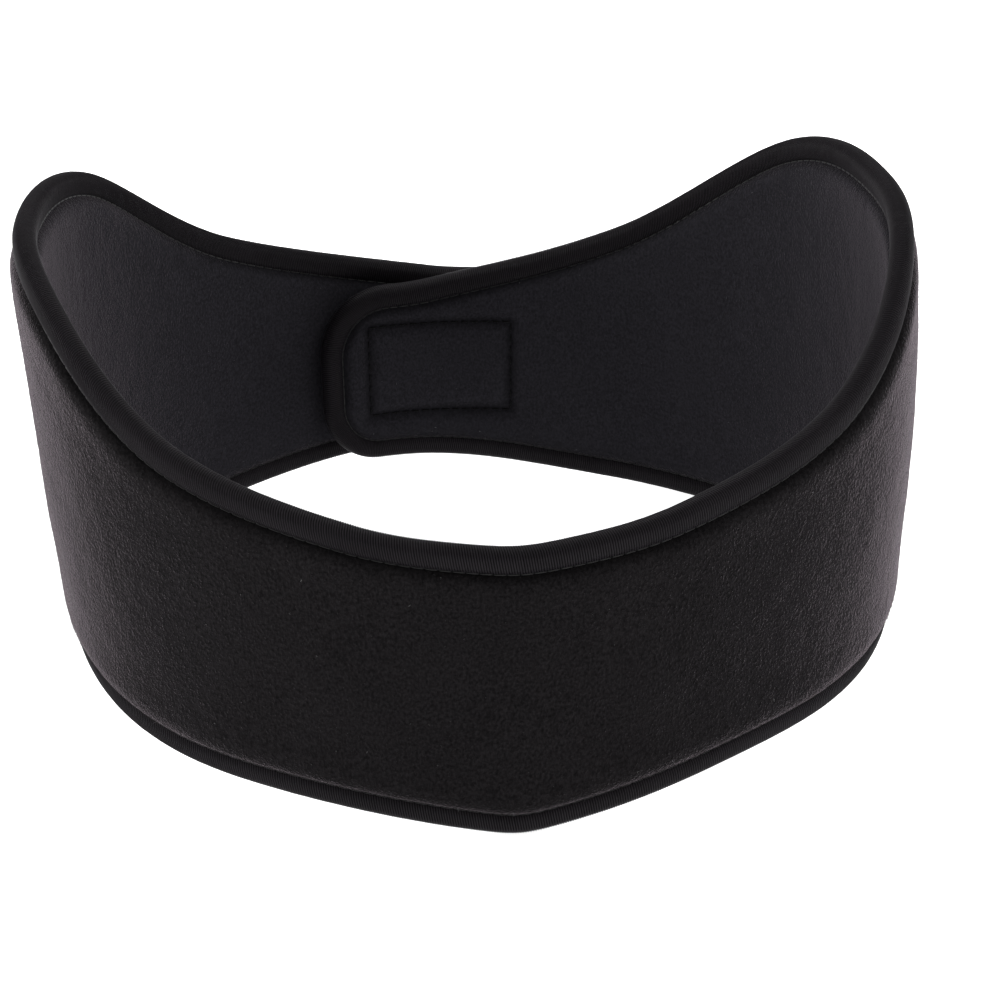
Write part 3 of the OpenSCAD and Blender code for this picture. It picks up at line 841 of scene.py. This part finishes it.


# name, where it starts and ends as (angle, on the top edge), the stretch whose joint it crosses, the
# CAD tapes that it replaces and the CAD stitching that its stitches replace
ONCE_ROUND = 360.0
TAPES = (
    ("top_{}_right_front", (0.0, True), (CUT_ANGLE, True), 2,
     ("top_binding_front", "top_binding_right_wing"),
     ("binding_stitching_front", "binding_stitching_right_wing")),
    ("end_{}_right", (CUT_ANGLE, True), (CUT_ANGLE, False), 3,
     ("end_binding_right_tab",), ("binding_stitching_right_tab",)),
    ("bottom_{}_right_front", (CUT_ANGLE, False), (0.0, False), 2,
     ("bottom_binding_front", "bottom_binding_right_wing"), ()),
    ("bottom_{}_left_front", (0.0, False), (-CUT_ANGLE, False), 1,
     ("bottom_binding_left_wing",), ("binding_stitching_left_wing",)),
    ("end_{}_left", (-CUT_ANGLE, False), (-CUT_ANGLE, True), 0,
     ("end_binding_left_tab",), ("binding_stitching_left_tab",)),
    ("top_{}_left_front", (-CUT_ANGLE, True), (ONCE_ROUND, True), 1,
     ("top_binding_left_wing",), ()),
)
for name, begin, finish_at, stretch, tape_nodes, thread_nodes in TAPES:
    start = arc_of(*begin)
    end = PATH_LENGTH if finish_at[0] == ONCE_ROUND else arc_of(*finish_at)
    joint, angle = STRETCHES[stretch][2:4]
    tape = tape_piece(name.format("binding"), start, end)
    bend_with(tape)
    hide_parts(*tape_nodes)
    stitches = edge_stitches(name.format("stitching"), start, end)
    bend_with(stitches)
    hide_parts(*thread_nodes)


# ---- Hook patch: points are x along and y up from its centre, in millimetres ----
WEAVE_HIGH, WEAVE_PITCH = 0.04, 0.66
PATCH_COLUMNS, PATCH_ROWS = 118, 76
PATCH_TOP, PATCH_UNDER = 0.52, 0.06    # top and underside of the ground tape above the fleece
PATCH_EDGE_DROP, PATCH_EDGE = 0.2, 0.4         # rounding of its rim
PATCH_SEAM_DEPTH, PATCH_SEAM = 0.16, 0.35      # the dent of its stitching
HOOK_ROW, HOOK_COLUMN, HOOK_OFFSET = 0.95, 1.25, 0.6
HOOK_FIELD = (16.4, 9.6)               # half size of the field of hooks
HOOK_RINGS, HOOK_SIDES = 9, 6
HOOK_THICK, HOOK_JITTER = 0.11, 0.06
PATCH_STITCH, PATCH_THREAD = 2.4, 0.15
PATCH_STITCH_STRAIGHT = 0.6
PATCH_STITCH_NARROW, PATCH_STITCH_SINK = 0.4, 0.18
STITCH_ON_TOP, STITCH_IN_GROOVE = 0.42, 0.10   # height of a stitch's middle above each face


def on_patch(x, y):
    return HOOK_CENTRE + x / MM_PER_DEG, HOOK_Z + y


def patch_point(x, y, lift):
    """Points on the outer face of the right tab."""
    phi, z = on_patch(x, y)
    return place(phi, z, foam_face(phi, z) + FLEECE_T + lift)


def ground_tape():
    """The woven plate of the patch, closed, with a finely woven top."""
    xs = np.linspace(-HOOK_LENGTH / 2, HOOK_LENGTH / 2, PATCH_COLUMNS)
    ys = np.linspace(-HOOK_HEIGHT / 2, HOOK_HEIGHT / 2, PATCH_ROWS)
    x, y = np.meshgrid(xs, ys, indexing="ij")
    across = 2 * math.pi / WEAVE_PITCH
    weave = WEAVE_HIGH * np.sin(x * across) * np.sin(y * across)
    edge_in = np.minimum(HOOK_LENGTH / 2 - abs(x), HOOK_HEIGHT / 2 - abs(y))
    seam = PATCH_SEAM_DEPTH * np.exp(-((edge_in - SEAM_INSET) / PATCH_SEAM) ** 2)
    lift = PATCH_TOP + weave - seam - PATCH_EDGE_DROP * np.exp(-edge_in / PATCH_EDGE)
    points = np.concatenate([patch_point(x, y, lift).reshape(-1, 3),
                             patch_point(x, y, PATCH_UNDER + 0 * x).reshape(-1, 3)])
    index = np.arange(x.size).reshape(x.shape)
    rim = np.concatenate([index[:, 0], index[-1, 1:], index[-2::-1, -1], index[0, -2:0:-1]])
    rim_next = np.roll(rim, -1)
    sides = np.stack([rim, rim + x.size, rim_next + x.size, rim_next], 1)
    top = grid_faces(*x.shape)
    band = np.concatenate([np.stack([x, y, lift], -1).reshape(-1, 3)] * 2)
    half_uv = np.stack([x / HOOK_LENGTH + 0.5, (y / HOOK_HEIGHT + 0.5) * 0.48], -1).reshape(-1, 2)
    uv = np.concatenate([half_uv, half_uv + np.array([0, 0.52])])
    return mesh_object("hook_patch_base", points, [top[:, ::-1], top + x.size, sides],
                       hook_tape, band, uv)


def hook_field():
    """Moulded hooks in offset rows inside the seam, leaning by turns to either side."""
    far_x, far_y = HOOK_FIELD
    hx, hy = np.meshgrid(np.arange(-far_x, far_x + 0.1, HOOK_COLUMN),
                         np.arange(-far_y, far_y + 0.1, HOOK_ROW), indexing="ij")
    hx = (hx + HOOK_OFFSET * (np.arange(hy.shape[1]) % 2)[None]).ravel()
    hy = hy.ravel()
    hx = hx + rng.uniform(-HOOK_JITTER, HOOK_JITTER, len(hx))
    facing = np.where(np.arange(len(hx)) % 2 == 0, 1.0, -1.0)
    t = np.linspace(0, 1, HOOK_RINGS)
    # the stem rises over three quarters of its length, then the tip comes down
    rise = 0.45 + 0.62 * np.sin(np.minimum(t, 0.75) / 0.75 * math.pi / 2)
    rise = rise - 0.34 * np.maximum(0, t - 0.62) / 0.38
    lean = 0.55 * np.maximum(0, t - 0.35) / 0.65
    thick = HOOK_THICK * (1 - 0.35 * t)
    turn = np.linspace(0, 2 * math.pi, HOOK_SIDES, endpoint=False)
    x = (hx[:, None, None] + facing[:, None, None] * lean[None, :, None]
         + thick[None, :, None] * np.cos(turn))
    y = hy[:, None, None] + thick[None, :, None] * np.sin(turn) * 1.3 + 0 * x
    points = patch_point(x, y, rise[None, :, None] + 0.03 * np.sin(turn) + 0 * x)
    shape = (len(hx), HOOK_RINGS, HOOK_SIDES)
    return mesh_object("hook_patch_hooks", points, tube_faces(*shape), hook_tape,
                       np.stack([x, y, 0 * x], -1).reshape(-1, 3), tube_uv(*shape))


def patch_stitching():
    """The rectangle of stitches that holds the patch: on the patch, and in the groove that it
    makes in the lining."""
    half_x, half_y = HOOK_LENGTH / 2 - SEAM_INSET, HOOK_HEIGHT / 2 - SEAM_INSET
    corners = np.array([(-half_x, -half_y), (half_x, -half_y), (half_x, half_y), (-half_x, half_y)])
    turn = np.linspace(0, 2 * math.pi, STITCH_SIDES, endpoint=False)
    s = np.linspace(-1, 1, STITCH_RINGS)
    narrow = np.maximum(0, abs(s) - PATCH_STITCH_STRAIGHT) / (1 - PATCH_STITCH_STRAIGHT)
    thin = PATCH_THREAD * (1 - PATCH_STITCH_NARROW * narrow)
    out = thin[:, None] * np.sin(turn)[None] - PATCH_STITCH_SINK * narrow[:, None]
    points, band = [], []
    for a, b in zip(corners, np.roll(corners, -1, axis=0)):
        length = np.linalg.norm(b - a)
        count = int(length / PATCH_STITCH)
        direction = (b - a) / length
        normal = np.array([-direction[1], direction[0]])
        for i in range(count):
            mid = a + direction * length * (i + 0.5) / count
            line = mid[None] + direction[None] * s[:, None]
            flat = line[:, None] + normal * (thin[:, None] * np.cos(turn)[None])[..., None]
            phi, z = on_patch(flat[..., 0], flat[..., 1])
            on_top = foam_face(phi, z) + FLEECE_T + STITCH_ON_TOP + out
            in_groove = -(fleece_w(phi, z, -1) + STITCH_IN_GROOVE + out)
            for w in (on_top, in_groove):
                points.append(place(phi, z, w).reshape(-1, 3))
                band.append(np.stack([phi * MM_PER_DEG, z, w], -1).reshape(-1, 3))
    total = len(points)
    shape = (total, STITCH_RINGS, STITCH_SIDES)
    faces = tube_faces(*shape, mirrored=range(0, total, 2))
    return mesh_object("hook_patch_stitches", np.concatenate(points), faces, seam_thread,
                       np.concatenate(band), tube_uv(*shape))


patch = ground_tape()
sharpen(patch, 50)
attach(patch, "right_tab")
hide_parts("hook_patch")
hooks = hook_field()
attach(hooks, "right_tab")
patch_stitches = patch_stitching()
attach(patch_stitches, "right_tab")
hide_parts("hook_patch_stitching")

# ---- Studio ----
scene = bpy.context.scene
scene.view_settings.view_transform = "Standard"
world = bpy.data.worlds.new("studio")
scene.world = world
world.use_nodes = True
WHITE = (1, 1, 1, 1)
background = world.node_tree.nodes["Background"]
background.inputs["Color"].default_value = WHITE
background.inputs["Strength"].default_value = 0.30

FLOOR, FLOOR_DROP = 3.0, 0.0006        # half width, and how far below the band's edge, in metres
floor_mesh = bpy.data.meshes.new("floor")
floor_mesh.from_pydata(
    [(-FLOOR, -FLOOR, 0), (FLOOR, -FLOOR, 0), (FLOOR, FLOOR, 0), (-FLOOR, FLOOR, 0)],
    [], [(0, 1, 2, 3)],
)
floor = bpy.data.objects.new("floor", floor_mesh)
scene.collection.objects.link(floor)
floor.location.z = -FLOOR_DROP
floor_nodes = Nodes("floor", Roughness=0.9, Base_Color=(0.9, 0.9, 0.9, 1),
                    Emission_Color=WHITE, Emission_Strength=0.95)
floor_mesh.materials.append(floor_nodes.material)


def softbox(name, location, target, size, watts):
    """A rectangular area light, in metres, that faces a point."""
    data = bpy.data.lights.new(name, "AREA")
    data.shape = "RECTANGLE"
    data.size, data.size_y = size
    data.energy = watts
    obj = bpy.data.objects.new(name, data)
    scene.collection.objects.link(obj)
    obj.location = location
    obj.rotation_euler = (Vector(target) - Vector(location)).to_track_quat("-Z", "Y").to_euler()


softbox("key", (0.45, -0.70, 1.0), (0, 0, 0.04), (0.8, 0.6), 5)
softbox("left_rim", (-1.1, 0.30, 0.40), (0, 0, 0.05), (0.5, 1.0), 16)
softbox("right_rim", (1.1, 0.30, 0.40), (0, 0, 0.05), (0.5, 1.0), 9)
softbox("back_top", (0.0, 0.9, 0.9), (0, 0, 0.05), (1.2, 0.5), 5)

# ---- Camera ----
# The aim is on the band's axis at a height, then moved right and up in the view, in millimetres.
ELEVATION, TURN, TILT = math.radians(26.23), math.radians(6.73), math.radians(-0.42)
DISTANCE, SHIFT_X, SHIFT_Y, AIM_Z = 657.2, 6.64, -16.07, 46.5
LENS, SENSOR = 115.4, 36.0
c, s = math.cos(TURN), math.sin(TURN)
ce, se = math.cos(ELEVATION), math.sin(ELEVATION)
right = Vector((c, -s, 0))
up = Vector((s * se, c * se, ce))
ahead = Vector((s * ce, c * ce, -se))
eye = (Vector((0, 0, AIM_Z)) + right * SHIFT_X + up * SHIFT_Y - ahead * DISTANCE) * MM
tilted_right = right * math.cos(TILT) + up * math.sin(TILT)
tilted_up = up * math.cos(TILT) - right * math.sin(TILT)
camera_data = bpy.data.cameras.new("camera")
camera_data.lens = LENS
camera_data.sensor_width = SENSOR
camera_data.clip_start, camera_data.clip_end = 0.01, 20
camera = bpy.data.objects.new("camera", camera_data)
scene.collection.objects.link(camera)
rotation = Matrix((tilted_right, tilted_up, -ahead)).transposed().to_4x4()
camera.matrix_world = Matrix.Translation(eye) @ rotation
scene.camera = camera
